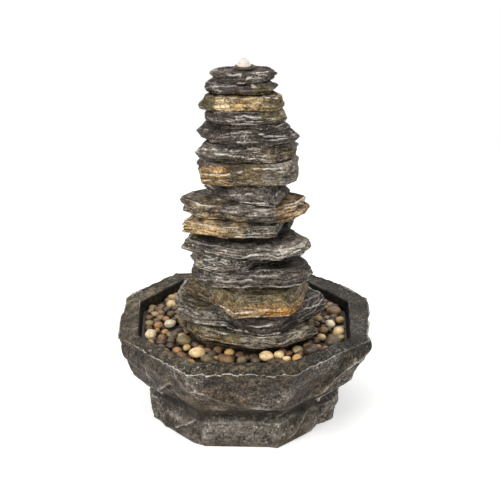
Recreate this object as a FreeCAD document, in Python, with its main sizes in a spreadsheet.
import FreeCAD, Part
import math
import os
from types import SimpleNamespace

import Sketcher

# Stacked stone water feature: an octagonal basin, a tower of drilled slabs threaded on a riser pipe,
# a ring of pebbles on a slotted tray, and a small pump under the tray.
# Millimetres. Z is up, the front faces -Y, and the basin stands on Z = 0 round the riser's axis.

doc = FreeCAD.newDocument("water_feature")
sheet = doc.addObject("Spreadsheet::Sheet", "Sizes")

# Driving dimensions

SIZES = {
    # basin, outside: half widths run from the riser's axis to a flat
    "rim_height": 187.0,
    "rim_drop": 7.0,
    "rim_half": 230.0,
    "rim_width": 30.0,
    "rim_crest": 6.0,
    "shoulder_height": 150.0,
    "shoulder_half": 222.0,
    "belly_height": 115.0,
    "belly_half": 205.0,
    "hip_height": 90.0,
    "hip_half": 188.0,
    "waist_height": 62.0,
    "waist_half": 168.0,
    "tier_height": 53.0,
    "tier_half": 176.0,
    "foot_half": 168.0,
    # basin, inside
    "floor_thick": 14.0,
    "ledge_height": 158.0,
    "ledge_width": 10.0,
    "cavity_draft": 4.0,
    "wall": 20.0,
    # cable notch at the back of the rim
    "outlet_drop": 16.0,
    "outlet_half": 4.5,
    "outlet_wall": 1.4,
    "outlet_flange": 2.5,
    "outlet_flange_thick": 3.0,
    "outlet_seat": 8.0,
    # tray
    "tray_thick": 6.0,
    "tray_gap": 1.2,
    "slot_width": 5.0,
    "slot_length": 46.0,
    "slot_margin": 18.8,
    "leg_radius": 11.0,
    "leg_offset": 74.0,
    # riser and bubbler
    "riser_radius": 8.0,
    "riser_wall": 1.8,
    "riser_tail": 45.0,
    "riser_recess": 1.0,
    "bore_gap": 0.5,
    "washer_radius": 18.0,
    "washer_thick": 1.5,
    "washer_gap": 1.0,
    "nut_radius": 16.0,
    "nut_thick": 8.0,
    "flange_radius": 13.0,
    "flange_thick": 2.5,
    "shank_length": 28.0,
    "jet_radius": 3.5,
    "jet_bore": 2.2,
    "dome_radius": 10.0,
    "dome_wall": 1.5,
    "lamp_height": 3.0,
    # hose
    "hose_wall": 2.5,
    "hose_gap": 0.3,
    "hose_drop": 11.0,
    "clip_width": 7.0,
    "clip_thick": 1.2,
    "clip_rise": 6.0,
    # pump
    "foot_rise": 8.0,
    "foot_pad": 8.0,
    "foot_neck": 4.0,
    "pump_width": 46.0,
    "motor_length": 42.0,
    "volute_length": 28.0,
    "volute_front": 18.0,
    "front_wall": 5.0,
    "chamber_radius": 17.0,
    "seal_thick": 1.5,
    "seal_width": 2.5,
    "spigot_rise": 20.0,
    "spigot_bore": 5.5,
    "port_radius": 3.0,
    "port_circle": 8.5,
    "well_radius": 10.0,
    "well_depth": 36.0,
    "magnet_radius": 9.2,
    "magnet_length": 31.0,
    "hub_radius": 4.5,
    "vane_reach": 15.0,
    "vane_width": 9.0,
    "vane_thick": 1.6,
    "disc_thick": 2.0,
    "shaft_radius": 1.5,
    "run_gap": 0.08,
    "fit_gap": 0.05,
    "bush_radius": 3.5,
    "bush_length": 3.5,
    "screw_radius": 1.5,
    "screw_head": 2.8,
    "screw_head_thick": 1.8,
    "screw_grip": 14.0,
    "screw_inset": 4.0,
    "gland_radius": 6.0,
    "gland_length": 8.0,
    "gland_bore": 3.2,
    # strainer and dial
    "strainer_wall": 2.2,
    "strainer_gap": 0.4,
    "strainer_depth": 16.0,
    "strainer_lap": 6.0,
    "strainer_slot": 3.0,
    "strainer_pitch": 7.0,
    "strainer_slot_tall": 13.0,
    "dial_radius": 12.0,
    "dial_thick": 2.5,
    "dial_gap": 0.4,
    "dial_pin": 2.5,
    "dial_bar": 4.0,
    "dial_bar_rise": 4.5,
    # pebbles
    "pebble_radius": 17.0,
    "pebble_gap": 0.6,
    # slabs, from the bottom to the top: reaches run from the riser's axis to each side, and top and
    # foot say how far the upper and the lower edge draw in from the widest line
    "slate_01_thick": 18.0, "slate_01_top": 4.0, "slate_01_foot": 7.0,
    "slate_01_left": 99.0, "slate_01_right": 126.0, "slate_01_front": 118.0, "slate_01_back": 112.0,
    "slate_02_thick": 25.0, "slate_02_top": 6.0, "slate_02_foot": 7.0,
    "slate_02_left": 107.0, "slate_02_right": 133.0, "slate_02_front": 140.0, "slate_02_back": 120.0,
    "slate_03_thick": 38.0, "slate_03_top": 7.0, "slate_03_foot": 6.0,
    "slate_03_left": 128.0, "slate_03_right": 155.0, "slate_03_front": 137.0, "slate_03_back": 130.0,
    "slate_04_thick": 40.0, "slate_04_top": 16.0, "slate_04_foot": 4.0,
    "slate_04_left": 113.0, "slate_04_right": 122.0, "slate_04_front": 144.0, "slate_04_back": 118.0,
    "slate_05_thick": 37.0, "slate_05_top": 10.0, "slate_05_foot": 6.0,
    "slate_05_left": 96.0, "slate_05_right": 127.0, "slate_05_front": 105.0, "slate_05_back": 100.0,
    "slate_06_thick": 28.0, "slate_06_top": 7.0, "slate_06_foot": 5.0,
    "slate_06_left": 97.0, "slate_06_right": 94.0, "slate_06_front": 105.0, "slate_06_back": 88.0,
    "slate_07_thick": 20.0, "slate_07_top": 5.0, "slate_07_foot": 6.0,
    "slate_07_left": 110.0, "slate_07_right": 122.0, "slate_07_front": 122.0, "slate_07_back": 92.0,
    "slate_08_thick": 18.0, "slate_08_top": 3.0, "slate_08_foot": 3.0,
    "slate_08_left": 92.0, "slate_08_right": 88.0, "slate_08_front": 80.0, "slate_08_back": 82.0,
    "slate_09_thick": 22.0, "slate_09_top": 3.0, "slate_09_foot": 3.0,
    "slate_09_left": 114.0, "slate_09_right": 90.0, "slate_09_front": 110.0, "slate_09_back": 84.0,
    "slate_10_thick": 30.0, "slate_10_top": 6.0, "slate_10_foot": 8.0,
    "slate_10_left": 115.0, "slate_10_right": 112.0, "slate_10_front": 98.0, "slate_10_back": 88.0,
    "slate_11_thick": 36.0, "slate_11_top": 26.0, "slate_11_foot": 3.0,
    "slate_11_left": 74.0, "slate_11_right": 84.0, "slate_11_front": 88.0, "slate_11_back": 74.0,
    "slate_12_thick": 41.0, "slate_12_top": 6.0, "slate_12_foot": 5.0,
    "slate_12_left": 79.0, "slate_12_right": 98.0, "slate_12_front": 80.0, "slate_12_back": 76.0,
    "slate_13_thick": 31.0, "slate_13_top": 19.0, "slate_13_foot": 6.0,
    "slate_13_left": 88.0, "slate_13_right": 95.0, "slate_13_front": 75.0, "slate_13_back": 72.0,
    "slate_14_thick": 35.0, "slate_14_top": 27.0, "slate_14_foot": 10.0,
    "slate_14_left": 89.0, "slate_14_right": 102.0, "slate_14_front": 71.0, "slate_14_back": 68.0,
    "slate_15_thick": 24.0, "slate_15_top": 9.0, "slate_15_foot": 6.0,
    "slate_15_left": 74.0, "slate_15_right": 80.0, "slate_15_front": 60.0, "slate_15_back": 60.0,
    "slate_16_thick": 28.0, "slate_16_top": 5.0, "slate_16_foot": 5.0,
    "slate_16_left": 84.0, "slate_16_right": 74.0, "slate_16_front": 53.0, "slate_16_back": 42.0,
    "slate_17_thick": 20.0, "slate_17_top": 10.0, "slate_17_foot": 5.0,
    "slate_17_left": 72.0, "slate_17_right": 61.0, "slate_17_front": 46.0, "slate_17_back": 52.0,
    "slate_18_thick": 20.0, "slate_18_top": 12.0, "slate_18_foot": 5.0,
    "slate_18_left": 62.0, "slate_18_right": 60.0, "slate_18_front": 40.0, "slate_18_back": 30.0,
    "slate_19_thick": 5.0, "slate_19_top": 3.0, "slate_19_foot": 1.0,
    "slate_19_left": 21.0, "slate_19_right": 24.0, "slate_19_front": 18.0, "slate_19_back": 17.0,
}

# Outlines of the slabs from the bottom to the top. The widest line lies at the share "belt" of the
# thickness. Each corner is (x, y) as shares of the reach on its side, in turn from the left tip by
# way of the front.
SLABS = [
    dict(belt=0.6,
         corners=[(-1, -0.35), (-0.74, -0.74), (0.13, -1), (0.62, -0.86), (1, -0.45),
                  (0.94, 0.4), (0.36, 1), (-0.55, 0.92), (-0.95, 0.35)]),
    dict(belt=0.5,
         corners=[(-1, -0.42), (-0.76, -0.7), (0.12, -1), (0.52, -0.95), (1, -0.6),
                  (0.97, 0.3), (0.4, 1), (-0.5, 0.95), (-0.95, 0.4)]),
    dict(belt=0.5,
         corners=[(-1, -0.12), (-0.96, -0.4), (-0.72, -0.62), (-0.28, -0.68), (0.2, -1), (0.45, -0.93),
                  (1, -0.1), (0.8, 0.6), (0.2, 1), (-0.55, 0.95), (-0.95, 0.4)]),
    dict(belt=0.3,
         corners=[(-1, -0.2), (-0.54, -0.52), (-0.13, -1), (0.7, -0.9), (0.86, -0.62),
                  (1, -0.08), (0.7, 0.7), (0.1, 1), (-0.55, 0.75)]),
    dict(belt=0.45,
         corners=[(-1, -0.52), (-0.68, -0.86), (-0.1, -1), (0.6, -0.95), (0.82, -0.82),
                  (1, -0.55), (0.7, 0.45), (0.15, 1), (-0.6, 0.85), (-0.95, 0.2)]),
    dict(belt=0.4,
         corners=[(-1, -0.45), (-0.9, -0.83), (-0.58, -1), (0.05, -1), (0.2, -0.72), (0.9, -0.5),
                  (1, 0.4), (0.3, 1), (-0.6, 0.85), (-0.95, 0.3)]),
    dict(belt=0.55,
         corners=[(-1, -0.52), (-0.62, -0.78), (-0.06, -0.95), (0.54, -1), (0.88, -0.8), (1, -0.46),
                  (0.66, 0.1), (0.25, 1), (-0.5, 0.9), (-0.8, 0.1)]),
    dict(belt=0.5,
         corners=[(-1, -0.3), (-0.5, -0.95), (0.4, -1), (0.95, -0.5), (1, 0.3), (0.4, 1),
                  (-0.5, 0.95), (-0.95, 0.4)]),
    dict(belt=0.5,
         corners=[(-1, -0.68), (-0.22, -1), (0.68, -0.96), (0.8, -0.5), (1, 0.2), (0.5, 1),
                  (-0.4, 0.95), (-0.86, -0.4)]),
    dict(belt=0.65,
         corners=[(-1, -0.24), (-0.66, -0.68), (0.08, -1), (0.54, -0.97), (0.82, -0.66), (1, -0.2),
                  (0.65, 0.25), (0.1, 1), (-0.5, 0.45), (-0.86, 0)]),
    dict(belt=0.25,
         corners=[(-1, 0.1), (-0.55, -0.5), (0.02, -0.78), (0.7, -1), (1, -0.2), (0.7, 0.75),
                  (0.05, 1), (-0.7, 0.7)]),
    dict(belt=0.62,
         corners=[(-1, -0.25), (-0.94, -0.8), (-0.35, -1), (0.75, -0.95), (0.98, -0.55), (1, 0.2),
                  (0.6, 0.95), (-0.4, 1), (-0.95, 0.5)]),
    dict(belt=0.38,
         corners=[(-1, -0.52), (-0.8, -0.86), (-0.2, -1), (0.6, -0.98), (0.98, -0.55), (1, 0.2),
                  (0.55, 0.95), (-0.4, 1), (-0.75, 0.4)]),
    dict(belt=0.36,
         corners=[(-1, -0.12), (-0.72, -0.72), (-0.1, -1), (0.55, -0.95), (1, -0.62), (0.62, 0.4),
                  (0.1, 1), (-0.6, 0.8)]),
    dict(belt=0.36,
         corners=[(-1, -0.4), (-0.72, -0.84), (-0.05, -1), (0.6, -0.94), (1, -0.58), (0.7, 0.7),
                  (-0.1, 1), (-0.75, 0.7)]),
    dict(belt=0.36,
         corners=[(-1, -0.62), (-0.62, -0.95), (0.05, -1), (0.82, -0.96), (1, -0.6), (0.8, 0.6),
                  (0.05, 1), (-0.8, 0.7)]),
    dict(belt=0.45,
         corners=[(-1, -0.4), (-0.6, -0.85), (0.1, -1), (0.8, -0.75), (1, -0.1), (0.6, 0.9),
                  (-0.3, 1), (-0.85, 0.5)]),
    dict(belt=0.58,
         corners=[(-1, -0.1), (-0.7, -0.75), (-0.05, -1), (0.7, -0.82), (1, -0.1), (0.7, 0.8),
                  (0.05, 1), (-0.7, 0.75)]),
    dict(belt=0.35,
         corners=[(-1, -0.2), (-0.5, -0.9), (0.35, -1), (0.95, -0.45), (0.8, 0.6),
                  (0.1, 1), (-0.75, 0.65)]),
]

# Corners of the basin's outlines as shares of a half width, in turn from front left.
RIM_OUTLINE = [(-0.45, -1), (0.39, -1), (1, -0.37), (1, 0.46),
               (0.58, 1), (-0.6, 1), (-1, 0.48), (-1, -0.32)]
MOUTH_OUTLINE = [(-0.45, -1), (0.4, -1), (0.98, -0.45), (1, 0.43),
                 (0.58, 1), (-0.6, 1), (-1, 0.43), (-0.98, -0.4)]
FOOT_OUTLINE = [(-0.43, -0.97), (0.36, -1), (0.97, -0.32), (1, 0.42),
                (0.47, 0.98), (-0.5, 0.98), (-1, 0.45), (-0.99, -0.24)]

# Loose pebbles: bearing from the right in degrees, lane from the tower (0) to the wall (1), share of
# the largest radius, and colour. They settle apart from here.
PEBBLES = [
    (131, 0.95, 0.5, "tan"), (143, 0.78, 0.62, "cream"), (149, 0.86, 0.5, "brown"),
    (153, 0.97, 0.5, "olive"), (158, 0.44, 0.55, "brown"), (161, 0.82, 0.52, "olive"),
    (137, 0.35, 0.6, "brown"), (150, 0.15, 0.55, "tan"), (147, 0.55, 0.5, "brown"),
    (168, 0.15, 0.6, "olive"), (167, 0.55, 0.5, "tan"), (168, 0.95, 0.5, "brown"),
    (177, 0.47, 0.72, "cream"), (176, 0.92, 0.58, "olive"), (178, 0.72, 0.55, "tan"),
    (195, 0.93, 0.8, "cream"), (189, 0.54, 0.45, "tan"), (191, 0.2, 0.55, "brown"),
    (179, 0.12, 0.55, "brown"), (184, 0.95, 0.5, "brown"), (186, 0.74, 0.45, "tan"),
    (201, 0.1, 0.55, "olive"), (199, 0.6, 0.5, "brown"), (205, 0.95, 0.6, "tan"),
    (213, 0.18, 0.9, "olive"), (206, 0.75, 0.57, "brown"), (207, 0.46, 0.5, "brown"),
    (222, 0.7, 0.55, "tan"), (223, 0.36, 0.57, "tan"), (214, 0.66, 0.5, "brown"),
    (214, 0.97, 0.6, "brown"), (224, 0.02, 0.55, "brown"), (230, 0.88, 0.6, "brown"),
    (231, 0.12, 0.5, "tan"), (237, 0.5, 0.9, "cream"), (247, 0.61, 0.8, "olive"),
    (247, 0.08, 0.66, "brown"), (240, 0.96, 0.55, "tan"), (250, 0.98, 0.5, "brown"),
    (259, 0.7, 0.92, "brown"), (258, 0.1, 0.6, "tan"), (269, 0.63, 0.7, "olive"),
    (267, 0.1, 0.55, "brown"), (268, 0.98, 0.5, "tan"), (277, 0.58, 0.68, "brown"),
    (277, 0.98, 0.5, "olive"), (278, 0.06, 0.55, "brown"), (288, 0.06, 0.82, "cream"),
    (295, 0.27, 0.6, "cream"), (287, 0.62, 0.6, "brown"), (290, 0.97, 0.55, "brown"),
    (298, 0.55, 0.5, "cream"), (302, 0.84, 0.68, "tan"), (311, 0.2, 0.66, "olive"),
    (304, 0.15, 0.5, "brown"), (315, 0.88, 1, "brown"), (322, 0.1, 0.6, "brown"),
    (325, 0.52, 0.5, "tan"), (334, 0.8, 0.92, "brown"), (332, 0.08, 0.55, "brown"),
    (340, 0.22, 0.56, "cream"), (343, 0.56, 0.5, "brown"), (349, 0.94, 0.82, "cream"),
    (351, 0.3, 0.6, "brown"), (358, 0.98, 0.45, "olive"), (3, 0.62, 0.72, "cream"),
    (3, 0.08, 0.55, "brown"), (9, 0.95, 0.55, "tan"), (14, 0.2, 0.6, "olive"),
    (20, 0.83, 0.88, "brown"), (23, 0.25, 0.6, "tan"), (31, 0.55, 0.6, "cream"), (37, 0.2, 0.7, "tan"),
    (44, 0.85, 0.9, "olive"), (51, 0.3, 0.7, "cream"), (58, 0.8, 0.85, "brown"), (65, 0.3, 0.75, "tan"),
    (72, 0.85, 0.7, "cream"), (78, 0.35, 0.9, "brown"), (86, 0.85, 0.8, "olive"),
    (93, 0.3, 0.75, "tan"), (99, 0.85, 0.7, "cream"), (106, 0.35, 0.9, "brown"),
    (113, 0.85, 0.75, "tan"), (119, 0.3, 0.7, "cream"), (124, 0.85, 0.7, "olive"),
    (129, 0.4, 0.6, "tan"),
]
PEBBLE_COLOURS = ("cream", "tan", "brown", "olive")


class Length:
    """A length that knows its expression in the document and its value now."""

    def __init__(self, text, value):
        self.text = text
        self.value = value

    def combined(self, sign, other, value):
        other_text = other.text if isinstance(other, Length) else repr(float(other))
        return Length(f"({self.text} {sign} {other_text})", value)

    def __add__(self, other):
        return self.combined("+", other, self.value + amount(other))

    def __sub__(self, other):
        return self.combined("-", other, self.value - amount(other))

    def __mul__(self, share):
        return self.combined("*", share, self.value * amount(share))

    def __truediv__(self, share):
        return self.combined("/", share, self.value / amount(share))

    def __neg__(self):
        return self * -1


def amount(length):
    """The value of a length or of a plain number."""
    return length.value if isinstance(length, Length) else float(length)


def fill_sheet():
    """Write every driving dimension to the sheet and return the lengths by name."""
    for row, (name, value) in enumerate(SIZES.items(), start=1):
        sheet.set(f"A{row}", name)
        sheet.set(f"B{row}", str(value))
        sheet.setAlias(f"B{row}", name)
    doc.recompute()
    return SimpleNamespace(**{name: Length(f"Sizes.{name}", value) for name, value in SIZES.items()})


size = fill_sheet()
nodes = {}


def bind(thing, setting, length):
    """Set a property from a length by its expression, or from a plain number."""
    text = length.text if isinstance(length, Length) else repr(float(length))
    thing.setExpression(setting, text)


def keep(thing, name):
    """Hand in this object as the node of that name."""
    thing.Label = name
    nodes[name] = thing
    return thing


# Sketched bodies


def new_body(name):
    return doc.addObject("PartDesign::Body", name)


def new_sketch(body, height=0.0, role="XY_Plane"):
    """A sketch on one of the body's own planes, moved along the plane's normal."""
    sketch = body.newObject("Sketcher::SketchObject", body.Name + "_sketch")
    plane = next(feature for feature in body.Origin.OriginFeatures if feature.Role == role)
    sketch.AttachmentSupport = [(plane, "")]
    sketch.MapMode = "FlatFace"
    bind(sketch, "AttachmentOffset.Base.z", height)
    return sketch


def pin(sketch, item, end, point):
    """Hold one end of a sketched item at a point given by two lengths."""
    for kind, axis, length in (("DistanceX", -2, point[0]), ("DistanceY", -1, point[1])):
        value = amount(length)
        if abs(value) < 1e-9:
            sketch.addConstraint(Sketcher.Constraint("PointOnObject", item, end, axis))
        elif value > 0:
            row = sketch.addConstraint(Sketcher.Constraint(kind, -1, 1, item, end, value))
            bind(sketch, f"Constraints[{row}]", length)
        else:
            row = sketch.addConstraint(Sketcher.Constraint(kind, item, end, -1, 1, -value))
            bind(sketch, f"Constraints[{row}]", -length)


def draw_outline(sketch, corners):
    """A closed outline of straight lines through corners given by two lengths each."""
    points = [FreeCAD.Vector(amount(x), amount(y), 0) for x, y in corners]
    count = len(corners)
    for row in range(count):
        sketch.addGeometry(Part.LineSegment(points[row], points[(row + 1) % count]), False)
    for row in range(count):
        sketch.addConstraint(Sketcher.Constraint("Coincident", row, 2, (row + 1) % count, 1))
    for row, corner in enumerate(corners):
        pin(sketch, row, 1, corner)


def draw_circle(sketch, radius):
    """A circle round the sketch's origin."""
    centre = FreeCAD.Vector(0, 0, 0)
    item = sketch.addGeometry(Part.Circle(centre, FreeCAD.Vector(0, 0, 1), amount(radius)), False)
    sketch.addConstraint(Sketcher.Constraint("Coincident", item, 3, -1, 1))
    row = sketch.addConstraint(Sketcher.Constraint("Radius", item, amount(radius)))
    bind(sketch, f"Constraints[{row}]", radius)


def loft(body, sketches, kind="Additive"):
    """Straight-sided loft through sketches that have the same corners in turn."""
    feature = body.newObject(f"PartDesign::{kind}Loft", f"{body.Name}_{kind}")
    feature.Profile = sketches[0]
    feature.Sections = sketches[1:]
    feature.Ruled = True
    doc.recompute()
    return feature


def pocket_up(body, sketch):
    """Cut the sketched shape upwards through the whole body."""
    before = body.Shape.Volume
    feature = body.newObject("PartDesign::Pocket", body.Name + "_pocket")
    feature.Profile = sketch
    feature.Type = "ThroughAll"
    feature.Reversed = True
    doc.recompute()
    if body.Shape.Volume > before - 1e-3:
        raise ValueError(body.Label + ": the pocket cut nothing")
    return feature


# Plain solids

ALONG = {"Z": FreeCAD.Rotation(), "Y": FreeCAD.Rotation(FreeCAD.Vector(1, 0, 0), -90)}


def place(thing, point, along="Z"):
    thing.Placement = FreeCAD.Placement(FreeCAD.Vector(*map(amount, point)), ALONG[along])
    for axis, length in zip("xyz", point):
        bind(thing, f"Placement.Base.{axis}", length)
    return thing


def rod(radius, length, point, along="Z"):
    """A round rod from a point along Z or Y."""
    thing = doc.addObject("Part::Cylinder", "rod")
    bind(thing, "Radius", radius)
    bind(thing, "Height", length)
    return place(thing, point, along)


def block(width, depth, height, point):
    """A block whose bottom has its middle at the point."""
    thing = doc.addObject("Part::Box", "block")
    bind(thing, "Length", width)
    bind(thing, "Width", depth)
    bind(thing, "Height", height)
    x, y, z = point
    return place(thing, (width / -2 + x, depth / -2 + y, z))


def joined(*things):
    thing = doc.addObject("Part::MultiFuse", "joined")
    thing.Shapes = list(things)
    return thing


def group(*things):
    """Separate solids kept side by side in one node."""
    thing = doc.addObject("Part::Compound", "group")
    thing.Links = list(things)
    return thing


def cut(base, *tools):
    """The base less the tools. Something has to come off."""
    thing = doc.addObject("Part::Cut", "cut")
    thing.Base = base
    thing.Tool = tools[0] if len(tools) == 1 else joined(*tools)
    doc.recompute()
    if thing.Shape.Volume > base.Shape.Volume - 1e-3:
        raise ValueError("a cut took nothing off")
    return thing


def tube(outer, inner, length, point, along="Z"):
    return cut(rod(outer, length, point, along), rod(inner, length, point, along))


def scaled(outline, half):
    """Corners of an outline for one half width."""
    return [(half * x, half * y) for x, y in outline]


# Levels, from the basin's foot upwards

tray_top = size.ledge_height + size.tray_thick
slab_levels = [tray_top]
for number in range(1, len(SLABS) + 1):
    slab_levels.append(slab_levels[-1] + getattr(size, f"slate_{number:02d}_thick"))
tower_top = slab_levels[-1]
mouth_half = size.rim_half - size.rim_width
bench_half = mouth_half - size.cavity_draft
tray_half = bench_half - size.tray_gap
pump_floor = size.floor_thick + size.foot_rise
pump_axis = pump_floor + size.pump_width / 2
pump_roof = pump_floor + size.pump_width
hose_top = size.ledge_height - size.hose_drop
hose_bore = size.riser_radius + size.hose_gap


outlet_height = size.rim_height - size.outlet_drop


def outlet_block(half, length, start, rise):
    """A block round the cable outlet's axis, from a start on Y, that stands up to a rise over the axis."""
    return block(half * 2, length, half + rise, (0, start + length / 2, outlet_height - half))


def make_basin():
    """Cast shell: a lofted outside, a mouth above the tray's ledge and a reservoir below it."""
    body = new_body("basin_casting")
    outside = [
        (0.0, size.foot_half, FOOT_OUTLINE),
        (size.tier_height, size.tier_half, FOOT_OUTLINE),
        (size.waist_height, size.waist_half, RIM_OUTLINE),
        (size.hip_height, size.hip_half, RIM_OUTLINE),
        (size.belly_height, size.belly_half, RIM_OUTLINE),
        (size.shoulder_height, size.shoulder_half, RIM_OUTLINE),
        (size.rim_height - size.rim_drop, size.rim_half, RIM_OUTLINE),
        (size.rim_height, mouth_half + size.rim_crest, MOUTH_OUTLINE),
    ]
    mouth = [
        (size.rim_height, mouth_half, MOUTH_OUTLINE),
        (size.ledge_height, bench_half, MOUTH_OUTLINE),
    ]
    reservoir = [
        (size.ledge_height, bench_half - size.ledge_width, MOUTH_OUTLINE),
        (size.hip_height, size.hip_half - size.wall, MOUTH_OUTLINE),
        (size.waist_height, size.waist_half - size.wall, MOUTH_OUTLINE),
        (size.floor_thick, size.foot_half - size.wall, MOUTH_OUTLINE),
    ]
    for sections, kind in ((outside, "Additive"), (mouth, "Subtractive"), (reservoir, "Subtractive")):
        before = 0.0 if body.Shape.isNull() else body.Shape.Volume
        sketches = []
        for height, half, outline in sections:
            sketch = new_sketch(body, height)
            draw_outline(sketch, scaled(outline, half))
            sketches.append(sketch)
        loft(body, sketches, kind)
        if (body.Shape.Volume > before) != (kind == "Additive"):
            raise ValueError("a basin loft did nothing")
    above = size.outlet_drop * 2
    notch = outlet_block(size.outlet_half, size.rim_width * 2, mouth_half - size.rim_width, above)
    seat_half = size.outlet_half + size.outlet_flange + size.fit_gap
    seat = outlet_block(seat_half, size.outlet_seat * 2, size.rim_half - size.outlet_seat, above)
    keep(cut(body, notch, seat), "basin_shell")


def make_grommet():
    """Rubber plug dropped into the cable notch, with its flange in the seat at the back."""
    seat = size.rim_half - size.outlet_seat
    inner_end = mouth_half + size.cavity_draft
    rise = size.outlet_drop - size.rim_drop
    sleeve = outlet_block(size.outlet_half - size.fit_gap, seat - inner_end, inner_end, rise)
    flange = outlet_block(size.outlet_half + size.outlet_flange, size.outlet_flange_thick, seat, rise)
    bore_radius = size.outlet_half - size.outlet_wall
    bore = rod(bore_radius, size.rim_width * 2, (0, mouth_half - size.rim_width, outlet_height), "Y")
    keep(cut(joined(sleeve, flange), bore), "cable_grommet")


def make_tray():
    """Slotted plate on the basin's ledge, with a hole that the tower's washer drops into."""
    body = new_body("tray_plate")
    sketch = new_sketch(body)
    draw_outline(sketch, scaled(MOUTH_OUTLINE, tray_half))
    pad = body.newObject("PartDesign::Pad", "tray_pad")
    pad.Profile = sketch
    bind(pad, "Length", size.tray_thick)
    doc.recompute()
    sketch = new_sketch(body)
    draw_circle(sketch, size.washer_radius + size.washer_gap)
    pocket_up(body, sketch)
    sketch = new_sketch(body)
    half = size.slot_width / 2
    outer = tray_half - size.slot_margin
    inner = outer - size.slot_length
    draw_outline(sketch, [(inner, -half), (outer, -half), (outer, half), (inner, half)])
    slot = pocket_up(body, sketch)
    before = body.Shape.Volume
    pattern = body.newObject("PartDesign::PolarPattern", "tray_slots")
    pattern.Originals = [slot]
    axis = next(feature for feature in body.Origin.OriginFeatures if feature.Role == "Z_Axis")
    pattern.Axis = (axis, [""])
    pattern.Angle = 360
    pattern.Occurrences = 32
    body.Tip = pattern
    place(body, (0, 0, size.ledge_height))
    doc.recompute()
    if body.Shape.Volume > before - 1e-3:
        raise ValueError("the tray's slots cut nothing")
    keep(body, "pebble_tray")


def make_legs():
    """Four posts between the basin's floor and the tray."""
    length = size.ledge_height - size.floor_thick
    legs = []
    for side in (-1, 1):
        for end in (-1, 1):
            point = (size.leg_offset * side, size.leg_offset * end, size.floor_thick)
            legs.append(rod(size.leg_radius, length, point))
    keep(group(*legs), "tray_legs")


def slab_corners(number, slab, inset):
    """Corners of one slab's outline, drawn in by an inset."""
    reach = {key: getattr(size, f"slate_{number:02d}_{key}") for key in ("left", "right", "front", "back")}
    corners = []
    for x, y in slab["corners"]:
        across = reach["left" if x < 0 else "right"] - inset
        along = reach["front" if y < 0 else "back"] - inset
        corners.append((across * x, along * y))
    return corners


def make_slabs():
    """Split slabs, each lofted through its foot, widest line and top, and drilled for the riser."""
    for number, slab in enumerate(SLABS, start=1):
        name = f"slate_{number:02d}"
        thick = getattr(size, name + "_thick")
        body = new_body(name)
        sketches = []
        for height, inset in ((0.0, getattr(size, name + "_foot")), (thick * slab["belt"], 0.0),
                              (thick, getattr(size, name + "_top"))):
            sketch = new_sketch(body, height)
            draw_outline(sketch, slab_corners(number, slab, inset))
            sketches.append(sketch)
        loft(body, sketches)
        sketch = new_sketch(body)
        draw_circle(sketch, size.riser_radius + size.bore_gap)
        pocket_up(body, sketch)
        place(body, (0, 0, slab_levels[number - 1]))
        keep(body, name)


def make_riser():
    """The tower's tie rod and water way, clamped by the nozzle's flange above and a nut below."""
    tail = tray_top - size.riser_tail
    bore = size.riser_radius - size.riser_wall
    top = tower_top - size.riser_recess
    keep(tube(size.riser_radius, bore, top - tail, (0, 0, tail)), "riser_pipe")
    washer_foot = tray_top - size.washer_thick
    threaded = size.riser_radius + size.fit_gap
    keep(tube(size.washer_radius, threaded, size.washer_thick, (0, 0, washer_foot)), "base_washer")
    nut = doc.addObject("Part::Prism", "nut")
    nut.Polygon = 6
    bind(nut, "Circumradius", size.nut_radius)
    bind(nut, "Height", size.nut_thick)
    place(nut, (0, 0, washer_foot - size.nut_thick))
    keep(cut(nut, rod(threaded, size.nut_thick, (0, 0, washer_foot - size.nut_thick))), "base_nut")


def make_bubbler():
    """Nozzle with its flange and jet, the lamp ring round the jet, and the clear dome over both."""
    bore = size.riser_radius - size.riser_wall - size.fit_gap
    seat = tower_top + size.flange_thick
    shank_foot = tower_top - size.shank_length
    shank = rod(bore, size.shank_length, (0, 0, shank_foot))
    flange = rod(size.flange_radius, size.flange_thick, (0, 0, tower_top))
    jet = rod(size.jet_radius, size.dome_radius, (0, 0, seat))
    full_length = size.shank_length + size.flange_thick + size.dome_radius
    water_way = rod(size.jet_bore, full_length, (0, 0, shank_foot))
    keep(cut(joined(shank, flange, jet), water_way), "bubbler_nozzle")
    jet_hole = size.jet_radius + size.fit_gap
    lamp_radius = size.dome_radius - size.dome_wall
    lamp_thick = size.lamp_height - size.fit_gap
    keep(tube(lamp_radius - size.fit_gap, jet_hole, lamp_thick, (0, 0, seat)), "light_ring")
    dome = doc.addObject("Part::Sphere", "dome")
    bind(dome, "Radius", size.dome_radius)
    dome.Angle1 = 0
    place(dome, (0, 0, seat))
    hollow = tube(lamp_radius, jet_hole, size.lamp_height, (0, 0, seat))
    keep(cut(dome, hollow, rod(jet_hole, size.dome_radius, (0, 0, seat))), "bubbler_dome")


def make_hose():
    """Straight soft sleeve over the pump's spigot; the riser's tail slides in from above."""
    outer = hose_bore + size.hose_wall
    keep(tube(outer, hose_bore, hose_top - pump_roof, (0, 0, pump_roof)), "riser_hose")
    inner = outer + size.fit_gap
    clip_foot = pump_roof + size.clip_rise
    band = tube(inner + size.clip_thick, inner, size.clip_width, (0, 0, clip_foot))
    lug_reach = inner + size.clip_thick
    lug_point = (lug_reach + size.clip_width / 4, 0, clip_foot)
    lug = block(size.clip_width, size.clip_width, size.clip_width, lug_point)
    core = rod(inner, size.clip_width, (0, 0, clip_foot))
    keep(cut(joined(band, lug), core), "hose_clip")


def screw_points(y):
    """The four corners of the pump's face where its screws run."""
    reach = size.pump_width / 2 - size.screw_inset
    return [(reach * side, y, pump_axis + reach * end) for side in (-1, 1) for end in (-1, 1)]


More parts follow.
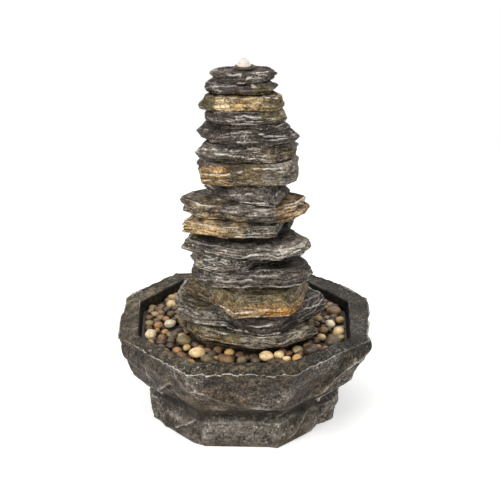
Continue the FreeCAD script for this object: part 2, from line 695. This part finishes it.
def make_pump():
    """Motor housing, volute with spigot and intake ports, the seal between them, and four screws."""
    face = -size.volute_front
    joint = size.volute_length - size.volute_front
    motor_face = joint + size.seal_thick
    chamber_face = size.front_wall - size.volute_front
    well_end = motor_face + size.well_depth
    width = size.pump_width
    screw_hole = size.screw_radius + size.fit_gap
    pocket = size.bush_radius + size.fit_gap

    middle = size.volute_length / 2 - size.volute_front
    shell = block(width, size.volute_length, width, (0, middle, pump_floor))
    spigot = rod(hose_bore - size.fit_gap, size.spigot_rise, (0, 0, pump_roof))
    tools = [
        rod(size.chamber_radius, joint - chamber_face, (0, chamber_face, pump_axis), "Y"),
        rod(size.spigot_bore, width / 2 + size.spigot_rise, (0, 0, pump_axis)),
        rod(pocket, size.bush_length, (0, chamber_face - size.bush_length, pump_axis), "Y"),
    ]
    for turn in range(4):
        angle = math.radians(45 + 90 * turn)
        x = size.port_circle * math.cos(angle)
        z = pump_axis + size.port_circle * math.sin(angle)
        tools.append(rod(size.port_radius, size.front_wall, (x, face, z), "Y"))
    tools += [rod(screw_hole, size.volute_length, point, "Y") for point in screw_points(face)]
    keep(cut(joined(shell, spigot), *tools), "pump_volute")

    seal_outer = size.chamber_radius + size.seal_width
    keep(tube(seal_outer, size.chamber_radius, size.seal_thick, (0, joint, pump_axis), "Y"), "pump_seal")

    motor = block(width, size.motor_length, width, (0, motor_face + size.motor_length / 2, pump_floor))
    motor_back = motor_face + size.motor_length
    gland = rod(size.gland_radius, size.gland_length, (0, motor_back, pump_axis), "Y")
    tools = [
        rod(size.well_radius, size.well_depth, (0, motor_face, pump_axis), "Y"),
        rod(pocket, size.bush_length, (0, well_end, pump_axis), "Y"),
        rod(size.gland_bore, size.gland_length, (0, motor_back, pump_axis), "Y"),
    ]
    tools += [rod(screw_hole, size.screw_grip, point, "Y") for point in screw_points(motor_face)]
    keep(cut(joined(motor, gland), *tools), "pump_body")

    screws = []
    shank = size.volute_length + size.seal_thick + size.screw_grip - size.fit_gap
    for stem, head in zip(screw_points(face), screw_points(face - size.screw_head_thick)):
        stem_rod = rod(size.screw_radius, shank, stem, "Y")
        head_rod = rod(size.screw_head, size.screw_head_thick, head, "Y")
        screws.append(joined(stem_rod, head_rod))
    keep(group(*screws), "pump_screws")

    shaft_start = chamber_face - size.bush_length
    shaft_length = well_end + size.bush_length - shaft_start
    keep(rod(size.shaft_radius, shaft_length, (0, shaft_start, pump_axis), "Y"), "rotor_shaft")
    hold = size.shaft_radius + size.fit_gap
    front_bush = tube(size.bush_radius, hold, size.bush_length, (0, shaft_start, pump_axis), "Y")
    rear_bush = tube(size.bush_radius, hold, size.bush_length, (0, well_end, pump_axis), "Y")
    keep(group(front_bush, rear_bush), "shaft_bushes")

    spread = width / 2 - size.foot_pad
    feet = []
    for side in (-1, 1):
        for y in (motor_face + size.foot_pad, motor_back - size.foot_pad):
            foot = doc.addObject("Part::Cone", "foot")
            bind(foot, "Radius1", size.foot_pad)
            bind(foot, "Radius2", size.foot_neck)
            bind(foot, "Height", size.foot_rise)
            feet.append(place(foot, (spread * side, y, size.floor_thick)))
    keep(group(*feet), "suction_feet")

    rotor_bore = size.shaft_radius + size.run_gap
    play = (size.well_depth - size.magnet_length) / 2
    magnet_face = motor_face + play
    disc_face = joint - size.disc_thick - play
    vane_face = disc_face - size.vane_width
    magnet = rod(size.magnet_radius, size.magnet_length, (0, magnet_face, pump_axis), "Y")
    hub = rod(size.hub_radius, magnet_face - vane_face, (0, vane_face, pump_axis), "Y")
    disc = rod(size.vane_reach, size.disc_thick, (0, disc_face, pump_axis), "Y")
    vanes = []
    for turn in range(3):
        vane = doc.addObject("Part::Box", "vane")
        bind(vane, "Length", size.vane_reach * 2)
        bind(vane, "Width", size.vane_width)
        bind(vane, "Height", size.vane_thick)
        angle = math.radians(60 * turn)
        turned = FreeCAD.Rotation(FreeCAD.Vector(0, 1, 0), 60 * turn)
        vane.Placement = FreeCAD.Placement(FreeCAD.Vector(), turned)
        half_thick = size.vane_thick / 2
        rise = size.vane_reach * math.sin(angle) - half_thick * math.cos(angle)
        bind(vane, "Placement.Base.x", size.vane_reach * -math.cos(angle) - half_thick * math.sin(angle))
        bind(vane, "Placement.Base.y", vane_face)
        bind(vane, "Placement.Base.z", pump_axis + rise)
        vanes.append(vane)
    length = magnet_face + size.magnet_length - vane_face
    bore = rod(rotor_bore, length, (0, vane_face, pump_axis), "Y")
    keep(cut(joined(magnet, hub, disc, *vanes), bore), "pump_rotor")


def make_intake():
    """Slotted cap that laps over the volute, and the dial that turns on its front wall."""
    inner = size.pump_width + size.strainer_gap * 2
    outer = inner + size.strainer_wall * 2
    face = -size.volute_front - size.strainer_depth
    depth = size.strainer_depth + size.strainer_lap
    inner_face = face + size.strainer_wall
    middle = pump_axis - outer / 2
    shell = block(outer, depth, outer, (0, face + depth / 2, middle))
    hollow = block(inner, depth, inner, (0, inner_face + depth / 2, pump_axis - inner / 2))
    pin_hole = size.dial_pin + size.run_gap
    tools = [hollow, rod(pin_hole, size.strainer_wall, (0, face, pump_axis), "Y")]
    gap = size.dial_radius / 2
    for level in (pump_axis + gap, pump_axis - gap - size.strainer_slot_tall):
        for column in range(-3, 4):
            point = (size.strainer_pitch * column, face + size.strainer_wall / 2, level)
            tools.append(block(size.strainer_slot, size.strainer_wall, size.strainer_slot_tall, point))
    keep(cut(shell, *tools), "pump_strainer")

    back = face - size.dial_gap
    front = back - size.dial_thick
    disc = rod(size.dial_radius, size.dial_thick, (0, front, pump_axis), "Y")
    stem_length = size.strainer_wall + size.dial_gap + size.dial_thick
    stem = rod(size.dial_pin, stem_length, (0, front, pump_axis), "Y")
    bar_middle = front - size.dial_bar_rise / 2
    bar = block(size.dial_radius * 2 - size.dial_bar, size.dial_bar_rise, size.dial_bar,
                (0, bar_middle, pump_axis - size.dial_bar / 2))
    keep(joined(disc, stem, bar), "flow_dial")


def inside_distance(point, corners):
    """How far a point lies inside a convex outline: its least distance to the edges' lines."""
    least = None
    for start, end in zip(corners, corners[1:] + corners[:1]):
        run = (end[0] - start[0], end[1] - start[1])
        length = math.hypot(*run)
        normal = (-run[1] / length, run[0] / length)
        depth = (point[0] - start[0]) * normal[0] + (point[1] - start[1]) * normal[1]
        if least is None or depth < least[0]:
            least = (depth, normal)
    return least


def pebble_shares(number):
    """Width and height of a pebble as shares of its length."""
    return 0.86 + 0.1 * math.sin(2.4 * number), 0.66 + 0.06 * math.cos(1.7 * number)


def settled_pebbles():
    """Plan positions of the pebbles, moved apart until each is clear of what is next to it."""
    wall = [(amount(x), amount(y)) for x, y in scaled(MOUTH_OUTLINE, tray_half)]
    tower = [(amount(x), amount(y)) for x, y in slab_corners(1, SLABS[0], 0.0)]
    overhang = [(amount(x), amount(y)) for x, y in slab_corners(2, SLABS[1], 0.0)]
    gap = amount(size.pebble_gap)
    headroom = amount(size.slate_01_thick) - gap
    places = []
    radii = []
    heads = []
    for number, (bearing, lane, share, colour) in enumerate(PEBBLES):
        radius = amount(size.pebble_radius) * share
        middle = radius * pebble_shares(number)[1]
        over = min(1.0, max(0.0, (headroom - middle) / middle))
        heads.append(radius * math.sqrt(1 - over ** 2))
        way = (math.cos(math.radians(bearing)), math.sin(math.radians(bearing)))
        reach = 0.0
        while inside_distance((way[0] * reach, way[1] * reach), tower)[0] > 0:
            reach += 1.0
        start = reach + radius
        while inside_distance((way[0] * reach, way[1] * reach), wall)[0] > 0:
            reach += 1.0
        distance = start + (reach - radius - start) * lane
        places.append([way[0] * distance, way[1] * distance])
        radii.append(radius)
    for sweep in range(400):
        for one in range(len(places)):
            for two in range(one):
                across = (places[one][0] - places[two][0], places[one][1] - places[two][1])
                apart = math.hypot(*across)
                short = radii[one] + radii[two] + gap - apart
                if short > 0:
                    for axis in (0, 1):
                        push = across[axis] / apart * (short / 2 + gap / 20)
                        places[one][axis] += push
                        places[two][axis] -= push
            for outline, side, reach in ((tower, -1, radii[one]), (overhang, -1, heads[one]),
                                         (wall, 1, radii[one])):
                depth, normal = inside_distance(places[one], outline)
                short = reach + gap - depth * side
                if short > 0:
                    places[one][0] += normal[0] * side * short
                    places[one][1] += normal[1] * side * short
    return places


def make_pebbles():
    """Flattened, turned pebbles lying on the tray, one node for each colour."""
    stones = {colour: [] for colour in PEBBLE_COLOURS}
    for number, (x, y) in enumerate(settled_pebbles()):
        share, colour = PEBBLES[number][2:]
        slim, flat = pebble_shares(number)
        stone = doc.addObject("Part::Ellipsoid", "pebble")
        bind(stone, "Radius1", size.pebble_radius * (share * flat))
        bind(stone, "Radius2", size.pebble_radius * share)
        bind(stone, "Radius3", size.pebble_radius * (share * slim))
        turned = FreeCAD.Rotation(FreeCAD.Vector(0, 0, 1), 137.5 * number)
        stone.Placement = FreeCAD.Placement(FreeCAD.Vector(x, y, 0), turned)
        bind(stone, "Placement.Base.z", tray_top + size.pebble_radius * (share * flat))
        stones[colour].append(stone)
    for colour, members in stones.items():
        keep(group(*members), f"pebbles_{colour}")


def write_parts():
    """Check every object and write each node to its own file."""
    doc.recompute()
    for thing in doc.Objects:
        if "Invalid" in thing.State or "Error" in thing.State:
            raise ValueError(f"{thing.Label}: {thing.State}")
    os.makedirs("parts", exist_ok=True)
    for name, thing in nodes.items():
        shape = thing.Shape
        if shape.isNull() or not shape.isValid():
            raise ValueError(name + ": not a valid shape")
        shape.exportStep(f"parts/{name}.step")
        print(f"{name}: {len(shape.Solids)} solids, {shape.Volume / 1000:.1f} cm3")


make_basin()
make_grommet()
make_tray()
make_legs()
make_slabs()
make_riser()
make_bubbler()
make_hose()
make_pump()
make_intake()
make_pebbles()
write_parts()
